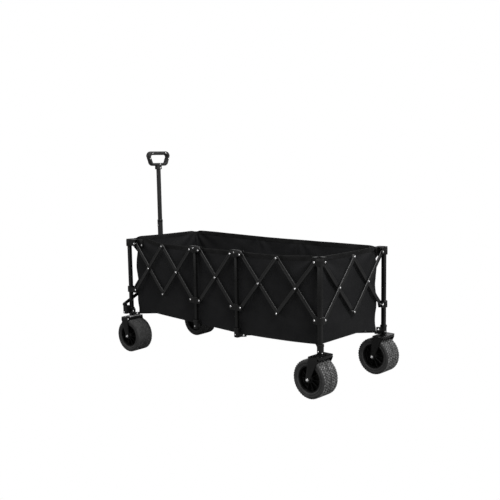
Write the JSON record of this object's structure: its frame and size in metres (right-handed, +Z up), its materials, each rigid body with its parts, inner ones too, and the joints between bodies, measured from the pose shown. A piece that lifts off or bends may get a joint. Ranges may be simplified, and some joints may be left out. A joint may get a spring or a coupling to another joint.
{
  "type": "folding camp wagon",
  "caption": "Folding camp wagon: scissor-link steel frame on posts, open fabric bag, wide wheels with swivelling front forks, telescopic pull handle.",
  "frame": {"origin": "centre of the bounding box on the floor, with the wagon open and its handle upright", "axes": "+Z up, +X towards the rear, the handle and the swivelling wheels at -X, +Y towards the right side of someone who faces the handle end"},
  "size_m": [1.4834, 0.6238, 1.117],
  "materials": {
    "frame_black": "satin black powder coat",
    "bracket_plastic": "moulded black plastic with a fine grain",
    "wheel_rubber": "dark grey treaded tyre on a black rim",
    "bag_fabric": "black woven polyester",
    "handle_metal": "satin dark tube",
    "grip_plastic": "moulded black grip"
  },
  "bodies": {
    "root": {"bag": "bag_fabric"},
    "post_left_rear": {"post_left_rear": "frame_black"},
    "slider_left_rear": {"slider_left_rear": "bracket_plastic"},
    "post_left_front": {"post_left_front": "frame_black"},
    "slider_left_front": {"slider_left_front": "bracket_plastic"},
    "post_right_front": {"post_right_front": "frame_black"},
    "slider_right_front": {"slider_right_front": "bracket_plastic"},
    "post_right_rear": {"post_right_rear": "frame_black"},
    "slider_right_rear": {"slider_right_rear": "bracket_plastic"},
    "post_left_mid_front": {"post_left_mid_front": "frame_black"},
    "slider_left_mid_front": {"slider_left_mid_front": "bracket_plastic"},
    "post_left_mid_rear": {"post_left_mid_rear": "frame_black"},
    "slider_left_mid_rear": {"slider_left_mid_rear": "bracket_plastic"},
    "post_right_mid_front": {"post_right_mid_front": "frame_black"},
    "slider_right_mid_front": {"slider_right_mid_front": "bracket_plastic"},
    "post_right_mid_rear": {"post_right_mid_rear": "frame_black"},
    "slider_right_mid_rear": {"slider_right_mid_rear": "bracket_plastic"},
    "link_left_1_outer": {"link_left_1_outer": "frame_black"},
    "link_left_1_inner": {"link_left_1_inner": "frame_black"},
    "link_left_2_outer": {"link_left_2_outer": "frame_black"},
    "link_left_2_inner": {"link_left_2_inner": "frame_black"},
    "link_left_3_outer": {"link_left_3_outer": "frame_black"},
    "link_left_3_inner": {"link_left_3_inner": "frame_black"},
    "link_left_4_outer": {"link_left_4_outer": "frame_black"},
    "link_left_4_inner": {"link_left_4_inner": "frame_black"},
    "link_left_5_outer": {"link_left_5_outer": "frame_black"},
    "link_left_5_inner": {"link_left_5_inner": "frame_black"},
    "link_rear_1_outer": {"link_rear_1_outer": "frame_black"},
    "link_rear_1_inner": {"link_rear_1_inner": "frame_black"},
    "link_rear_2_outer": {"link_rear_2_outer": "frame_black"},
    "link_rear_2_inner": {"link_rear_2_inner": "frame_black"},
    "link_right_5_outer": {"link_right_5_outer": "frame_black"},
    "link_right_5_inner": {"link_right_5_inner": "frame_black"},
    "link_right_4_outer": {"link_right_4_outer": "frame_black"},
    "link_right_4_inner": {"link_right_4_inner": "frame_black"},
    "link_right_3_outer": {"link_right_3_outer": "frame_black"},
    "link_right_3_inner": {"link_right_3_inner": "frame_black"},
    "link_right_2_outer": {"link_right_2_outer": "frame_black"},
    "link_right_2_inner": {"link_right_2_inner": "frame_black"},
    "link_right_1_outer": {"link_right_1_outer": "frame_black"},
    "link_right_1_inner": {"link_right_1_inner": "frame_black"},
    "link_front_2_outer": {"link_front_2_outer": "frame_black"},
    "link_front_2_inner": {"link_front_2_inner": "frame_black"},
    "link_front_1_outer": {"link_front_1_outer": "frame_black"},
    "link_front_1_inner": {"link_front_1_inner": "frame_black"},
    "yoke_link_left": {"yoke_link_left": "frame_black"},
    "yoke_link_right": {"yoke_link_right": "frame_black"},
    "handle_hub": {"handle_hub": "bracket_plastic"},
    "floor_hub_front": {"floor_hub_front": "bracket_plastic"},
    "floor_hub_rear": {"floor_hub_rear": "bracket_plastic"},
    "handle_lower_tube": {"handle_lower_tube": "handle_metal"},
    "handle_upper_tube": {"handle_upper_tube": "grip_plastic"},
    "caster_fork_left": {"caster_fork_left": "frame_black"},
    "wheel_left_front": {"wheel_left_front": "wheel_rubber"},
    "wheel_left_rear": {"wheel_left_rear": "wheel_rubber"},
    "brake_pedal_left": {"brake_pedal_left": "bracket_plastic"},
    "caster_fork_right": {"caster_fork_right": "frame_black"},
    "wheel_right_front": {"wheel_right_front": "wheel_rubber"},
    "wheel_right_rear": {"wheel_right_rear": "wheel_rubber"},
    "brake_pedal_right": {"brake_pedal_right": "bracket_plastic"}
  },
  "joints": [
    {"name": "fold", "type": "slide", "parent": "root", "child": "post_left_rear", "axis": [-0.9285, 0.3714, 0], "range_m": [0, 0.33657], "deforming": ["bag"]},
    {"name": "slider_left_rear_slide", "type": "slide", "parent": "post_left_rear", "child": "slider_left_rear", "axis": [0, 0, -1], "range_m": [0, 0.07015]},
    {"name": "post_left_front_slide", "type": "slide", "parent": "root", "child": "post_left_front", "axis": [0.9285, 0.3714, 0], "range_m": [0, 0.33658]},
    {"name": "slider_left_front_slide", "type": "slide", "parent": "post_left_front", "child": "slider_left_front", "axis": [0, 0, -1], "range_m": [0, 0.07015]},
    {"name": "post_right_front_slide", "type": "slide", "parent": "root", "child": "post_right_front", "axis": [0.9285, -0.3714, 0], "range_m": [0, 0.33658]},
    {"name": "slider_right_front_slide", "type": "slide", "parent": "post_right_front", "child": "slider_right_front", "axis": [0, 0, -1], "range_m": [0, 0.07015]},
    {"name": "post_right_rear_slide", "type": "slide", "parent": "root", "child": "post_right_rear", "axis": [-0.9285, -0.3714, 0], "range_m": [0, 0.33658]},
    {"name": "slider_right_rear_slide", "type": "slide", "parent": "post_right_rear", "child": "slider_right_rear", "axis": [0, 0, -1], "range_m": [0, 0.07015]},
    {"name": "post_left_mid_front_slide", "type": "slide", "parent": "root", "child": "post_left_mid_front", "axis": [0.4472, 0.8944, 0], "range_m": [0, 0.13976]},
    {"name": "slider_left_mid_front_slide", "type": "slide", "parent": "post_left_mid_front", "child": "slider_left_mid_front", "axis": [0, 0, -1], "range_m": [0, 0.07015]},
    {"name": "post_left_mid_rear_slide", "type": "slide", "parent": "root", "child": "post_left_mid_rear", "axis": [-0.4472, 0.8944, 0], "range_m": [0, 0.13976]},
    {"name": "slider_left_mid_rear_slide", "type": "slide", "parent": "post_left_mid_rear", "child": "slider_left_mid_rear", "axis": [0, 0, -1], "range_m": [0, 0.07015]},
    {"name": "post_right_mid_front_slide", "type": "slide", "parent": "root", "child": "post_right_mid_front", "axis": [0.4472, -0.8944, 0], "range_m": [0, 0.13976]},
    {"name": "slider_right_mid_front_slide", "type": "slide", "parent": "post_right_mid_front", "child": "slider_right_mid_front", "axis": [0, 0, -1], "range_m": [0, 0.07015]},
    {"name": "post_right_mid_rear_slide", "type": "slide", "parent": "root", "child": "post_right_mid_rear", "axis": [-0.4472, -0.8944, 0], "range_m": [0, 0.13976]},
    {"name": "slider_right_mid_rear_slide", "type": "slide", "parent": "post_right_mid_rear", "child": "slider_right_mid_rear", "axis": [0, 0, -1], "range_m": [0, 0.07015]},
    {"name": "link_left_1_outer_hinge", "type": "hinge", "parent": "slider_left_front", "child": "link_left_1_outer", "pos_m": [-0.61183, -0.2572, 0.35], "axis": [0, -1, 0], "range_deg": [0, 24]},
    {"name": "link_left_1_inner_hinge", "type": "hinge", "parent": "post_left_front", "child": "link_left_1_inner", "pos_m": [-0.61183, -0.2487, 0.609], "axis": [0, 1, 0], "range_deg": [0, 24]},
    {"name": "link_left_2_outer_hinge", "type": "hinge", "parent": "post_left_mid_front", "child": "link_left_2_outer", "pos_m": [-0.15683, -0.2572, 0.609], "axis": [0, -1, 0], "range_deg": [0, 24]},
    {"name": "link_left_2_inner_hinge", "type": "hinge", "parent": "slider_left_mid_front", "child": "link_left_2_inner", "pos_m": [-0.15683, -0.2487, 0.35], "axis": [0, 1, 0], "range_deg": [0, 24]},
    {"name": "link_left_3_outer_hinge", "type": "hinge", "parent": "slider_left_mid_front", "child": "link_left_3_outer", "pos_m": [-0.09183, -0.2572, 0.35], "axis": [0, -1, 0], "range_deg": [0, 24]},
    {"name": "link_left_3_inner_hinge", "type": "hinge", "parent": "post_left_mid_front", "child": "link_left_3_inner", "pos_m": [-0.09183, -0.2487, 0.609], "axis": [0, 1, 0], "range_deg": [0, 24]},
    {"name": "link_left_4_outer_hinge", "type": "hinge", "parent": "slider_left_mid_rear", "child": "link_left_4_outer", "pos_m": [0.20067, -0.2572, 0.35], "axis": [0, -1, 0], "range_deg": [0, 24]},
    {"name": "link_left_4_inner_hinge", "type": "hinge", "parent": "post_left_mid_rear", "child": "link_left_4_inner", "pos_m": [0.20067, -0.2487, 0.609], "axis": [0, 1, 0], "range_deg": [0, 24]},
    {"name": "link_left_5_outer_hinge", "type": "hinge", "parent": "post_left_rear", "child": "link_left_5_outer", "pos_m": [0.65567, -0.2572, 0.609], "axis": [0, -1, 0], "range_deg": [0, 24]},
    {"name": "link_left_5_inner_hinge", "type": "hinge", "parent": "slider_left_rear", "child": "link_left_5_inner", "pos_m": [0.65567, -0.2487, 0.35], "axis": [0, 1, 0], "range_deg": [0, 24]},
    {"name": "link_rear_1_outer_hinge", "type": "hinge", "parent": "slider_left_rear", "child": "link_rear_1_outer", "pos_m": [0.68517, -0.2277, 0.35], "axis": [1, 0, 0], "range_deg": [0, 24]},
    {"name": "link_rear_1_inner_hinge", "type": "hinge", "parent": "post_left_rear", "child": "link_rear_1_inner", "pos_m": [0.67667, -0.2277, 0.609], "axis": [-1, 0, 0], "range_deg": [0, 24]},
    {"name": "link_rear_2_outer_hinge", "type": "hinge", "parent": "post_right_rear", "child": "link_rear_2_outer", "pos_m": [0.68517, 0.2273, 0.609], "axis": [1, 0, 0], "range_deg": [0, 24]},
    {"name": "link_rear_2_inner_hinge", "type": "hinge", "parent": "slider_right_rear", "child": "link_rear_2_inner", "pos_m": [0.67667, 0.2273, 0.35], "axis": [-1, 0, 0], "range_deg": [0, 24]},
    {"name": "link_right_5_outer_hinge", "type": "hinge", "parent": "slider_right_rear", "child": "link_right_5_outer", "pos_m": [0.65567, 0.2568, 0.35], "axis": [0, 1, 0], "range_deg": [0, 24]},
    {"name": "link_right_5_inner_hinge", "type": "hinge", "parent": "post_right_rear", "child": "link_right_5_inner", "pos_m": [0.65567, 0.2483, 0.609], "axis": [0, -1, 0], "range_deg": [0, 24]},
    {"name": "link_right_4_outer_hinge", "type": "hinge", "parent": "post_right_mid_rear", "child": "link_right_4_outer", "pos_m": [0.20067, 0.2568, 0.609], "axis": [0, 1, 0], "range_deg": [0, 24]},
    {"name": "link_right_4_inner_hinge", "type": "hinge", "parent": "slider_right_mid_rear", "child": "link_right_4_inner", "pos_m": [0.20067, 0.2483, 0.35], "axis": [0, -1, 0], "range_deg": [0, 24]},
    {"name": "link_right_3_outer_hinge", "type": "hinge", "parent": "slider_right_mid_rear", "child": "link_right_3_outer", "pos_m": [0.13567, 0.2568, 0.35], "axis": [0, 1, 0], "range_deg": [0, 24]},
    {"name": "link_right_3_inner_hinge", "type": "hinge", "parent": "post_right_mid_rear", "child": "link_right_3_inner", "pos_m": [0.13567, 0.2483, 0.609], "axis": [0, -1, 0], "range_deg": [0, 24]},
    {"name": "link_right_2_outer_hinge", "type": "hinge", "parent": "slider_right_mid_front", "child": "link_right_2_outer", "pos_m": [-0.15683, 0.2568, 0.35], "axis": [0, 1, 0], "range_deg": [0, 24]},
    {"name": "link_right_2_inner_hinge", "type": "hinge", "parent": "post_right_mid_front", "child": "link_right_2_inner", "pos_m": [-0.15683, 0.2483, 0.609], "axis": [0, -1, 0], "range_deg": [0, 24]},
    {"name": "link_right_1_outer_hinge", "type": "hinge", "parent": "post_right_front", "child": "link_right_1_outer", "pos_m": [-0.61183, 0.2568, 0.609], "axis": [0, 1, 0], "range_deg": [0, 24]},
    {"name": "link_right_1_inner_hinge", "type": "hinge", "parent": "slider_right_front", "child": "link_right_1_inner", "pos_m": [-0.61183, 0.2483, 0.35], "axis": [0, -1, 0], "range_deg": [0, 24]},
    {"name": "link_front_2_outer_hinge", "type": "hinge", "parent": "slider_right_front", "child": "link_front_2_outer", "pos_m": [-0.67133, 0.2273, 0.35], "axis": [-1, 0, 0], "range_deg": [0, 24]},
    {"name": "link_front_2_inner_hinge", "type": "hinge", "parent": "post_right_front", "child": "link_front_2_inner", "pos_m": [-0.66283, 0.2273, 0.609], "axis": [1, 0, 0], "range_deg": [0, 24]},
    {"name": "link_front_1_outer_hinge", "type": "hinge", "parent": "post_left_front", "child": "link_front_1_outer", "pos_m": [-0.67133, -0.2277, 0.609], "axis": [-1, 0, 0], "range_deg": [0, 24]},
    {"name": "link_front_1_inner_hinge", "type": "hinge", "parent": "slider_left_front", "child": "link_front_1_inner", "pos_m": [-0.66283, -0.2277, 0.35], "axis": [1, 0, 0], "range_deg": [0, 24]},
    {"name": "yoke_link_left_hinge", "type": "hinge", "parent": "post_left_front", "child": "yoke_link_left", "pos_m": [-0.69583, -0.2817, 0.262], "axis": [1, 0, 0], "range_deg": [0, 36.74]},
    {"name": "yoke_link_right_hinge", "type": "hinge", "parent": "post_right_front", "child": "yoke_link_right", "pos_m": [-0.69583, 0.2813, 0.262], "axis": [-1, 0, 0], "range_deg": [0, 36.74]},
    {"name": "handle_hub_slide", "type": "slide", "parent": "root", "child": "handle_hub", "axis": [0.9228, 0, 0.3853], "range_m": [0, 0.33866]},
    {"name": "floor_hub_front_slide", "type": "slide", "parent": "root", "child": "floor_hub_front", "axis": [1, 0, 0], "range_m": [0, 0.18751]},
    {"name": "floor_hub_rear_slide", "type": "slide", "parent": "root", "child": "floor_hub_rear", "axis": [-1, 0, 0], "range_m": [0, 0.18751]},
    {"name": "handle_tilt", "type": "hinge", "parent": "handle_hub", "child": "handle_lower_tube", "pos_m": [-0.69583, -0.0002, 0.417], "axis": [0, -1, 0], "range_deg": [0, 90]},
    {"name": "handle_extend", "type": "slide", "parent": "handle_lower_tube", "child": "handle_upper_tube", "axis": [0, 0, -1], "range_m": [0, 0.245]},
    {"name": "caster_swivel_left", "type": "hinge", "parent": "post_left_front", "child": "caster_fork_left", "pos_m": [-0.66583, -0.2517, 0.19], "axis": [0, 0, 1], "continuous": true},
    {"name": "wheel_spin_left_front", "type": "hinge", "parent": "caster_fork_left", "child": "wheel_left_front", "pos_m": [-0.64588, -0.25031, 0.09], "axis": [-0.0698, 0.9976, 0], "continuous": true},
    {"name": "wheel_spin_left_rear", "type": "hinge", "parent": "post_left_rear", "child": "wheel_left_rear", "pos_m": [0.65167, -0.2517, 0.09], "axis": [0, 1, 0], "continuous": true},
    {"name": "brake_pedal_left_press", "type": "hinge", "parent": "caster_fork_left", "child": "brake_pedal_left", "pos_m": [-0.70274, -0.25428, 0.1875], "axis": [0.0698, -0.9976, 0], "range_deg": [0, 18]},
    {"name": "caster_swivel_right", "type": "hinge", "parent": "post_right_front", "child": "caster_fork_right", "pos_m": [-0.66583, 0.2513, 0.19], "axis": [0, 0, 1], "continuous": true},
    {"name": "wheel_spin_right_front", "type": "hinge", "parent": "caster_fork_right", "child": "wheel_right_front", "pos_m": [-0.64588, 0.25269, 0.09], "axis": [-0.0698, 0.9976, 0], "continuous": true},
    {"name": "wheel_spin_right_rear", "type": "hinge", "parent": "post_right_rear", "child": "wheel_right_rear", "pos_m": [0.65167, 0.2513, 0.09], "axis": [0, 1, 0], "continuous": true},
    {"name": "brake_pedal_right_press", "type": "hinge", "parent": "caster_fork_right", "child": "brake_pedal_right", "pos_m": [-0.70274, 0.24872, 0.1875], "axis": [0.0698, -0.9976, 0], "range_deg": [0, 18]}
  ],
  "couplings": [
    {"joint": "slider_left_rear_slide", "follows": "fold", "ratio": 0.20838},
    {"joint": "post_left_front_slide", "follows": "fold", "ratio": 1},
    {"joint": "slider_left_front_slide", "follows": "fold", "ratio": 0.20838},
    {"joint": "post_right_front_slide", "follows": "fold", "ratio": 1},
    {"joint": "slider_right_front_slide", "follows": "fold", "ratio": 0.20838},
    {"joint": "post_right_rear_slide", "follows": "fold", "ratio": 1},
    {"joint": "slider_right_rear_slide", "follows": "fold", "ratio": 0.20838},
    {"joint": "post_left_mid_front_slide", "follows": "fold", "ratio": 0.41523},
    {"joint": "slider_left_mid_front_slide", "follows": "fold", "ratio": 0.20838},
    {"joint": "post_left_mid_rear_slide", "follows": "fold", "ratio": 0.41523},
    {"joint": "slider_left_mid_rear_slide", "follows": "fold", "ratio": 0.20838},
    {"joint": "post_right_mid_front_slide", "follows": "fold", "ratio": 0.41523},
    {"joint": "slider_right_mid_front_slide", "follows": "fold", "ratio": 0.20838},
    {"joint": "post_right_mid_rear_slide", "follows": "fold", "ratio": 0.41523},
    {"joint": "slider_right_mid_rear_slide", "follows": "fold", "ratio": 0.20838},
    {"joint": "link_left_1_outer_hinge", "follows": "fold", "rad_per_m": 1.2444},
    {"joint": "link_left_1_inner_hinge", "follows": "fold", "rad_per_m": 1.2444},
    {"joint": "link_left_2_outer_hinge", "follows": "fold", "rad_per_m": 1.2444},
    {"joint": "link_left_2_inner_hinge", "follows": "fold", "rad_per_m": 1.2444},
    {"joint": "link_left_3_outer_hinge", "follows": "fold", "rad_per_m": 1.2444},
    {"joint": "link_left_3_inner_hinge", "follows": "fold", "rad_per_m": 1.2444},
    {"joint": "link_left_4_outer_hinge", "follows": "fold", "rad_per_m": 1.2444},
    {"joint": "link_left_4_inner_hinge", "follows": "fold", "rad_per_m": 1.2444},
    {"joint": "link_left_5_outer_hinge", "follows": "fold", "rad_per_m": 1.2444},
    {"joint": "link_left_5_inner_hinge", "follows": "fold", "rad_per_m": 1.2444},
    {"joint": "link_rear_1_outer_hinge", "follows": "fold", "rad_per_m": 1.2444},
    {"joint": "link_rear_1_inner_hinge", "follows": "fold", "rad_per_m": 1.2444},
    {"joint": "link_rear_2_outer_hinge", "follows": "fold", "rad_per_m": 1.2444},
    {"joint": "link_rear_2_inner_hinge", "follows": "fold", "rad_per_m": 1.2444},
    {"joint": "link_right_5_outer_hinge", "follows": "fold", "rad_per_m": 1.2444},
    {"joint": "link_right_5_inner_hinge", "follows": "fold", "rad_per_m": 1.2444},
    {"joint": "link_right_4_outer_hinge", "follows": "fold", "rad_per_m": 1.2444},
    {"joint": "link_right_4_inner_hinge", "follows": "fold", "rad_per_m": 1.2444},
    {"joint": "link_right_3_outer_hinge", "follows": "fold", "rad_per_m": 1.2444},
    {"joint": "link_right_3_inner_hinge", "follows": "fold", "rad_per_m": 1.2444},
    {"joint": "link_right_2_outer_hinge", "follows": "fold", "rad_per_m": 1.2444},
    {"joint": "link_right_2_inner_hinge", "follows": "fold", "rad_per_m": 1.2444},
    {"joint": "link_right_1_outer_hinge", "follows": "fold", "rad_per_m": 1.2444},
    {"joint": "link_right_1_inner_hinge", "follows": "fold", "rad_per_m": 1.2444},
    {"joint": "link_front_2_outer_hinge", "follows": "fold", "rad_per_m": 1.2444},
    {"joint": "link_front_2_inner_hinge", "follows": "fold", "rad_per_m": 1.2444},
    {"joint": "link_front_1_outer_hinge", "follows": "fold", "rad_per_m": 1.2444},
    {"joint": "link_front_1_inner_hinge", "follows": "fold", "rad_per_m": 1.2444},
    {"joint": "yoke_link_left_hinge", "follows": "fold", "rad_per_m": 1.9049},
    {"joint": "yoke_link_right_hinge", "follows": "fold", "rad_per_m": 1.9049},
    {"joint": "handle_hub_slide", "follows": "fold", "ratio": 1.0062},
    {"joint": "floor_hub_front_slide", "follows": "fold", "ratio": 0.55709},
    {"joint": "floor_hub_rear_slide", "follows": "fold", "ratio": 0.55709}
  ]
}
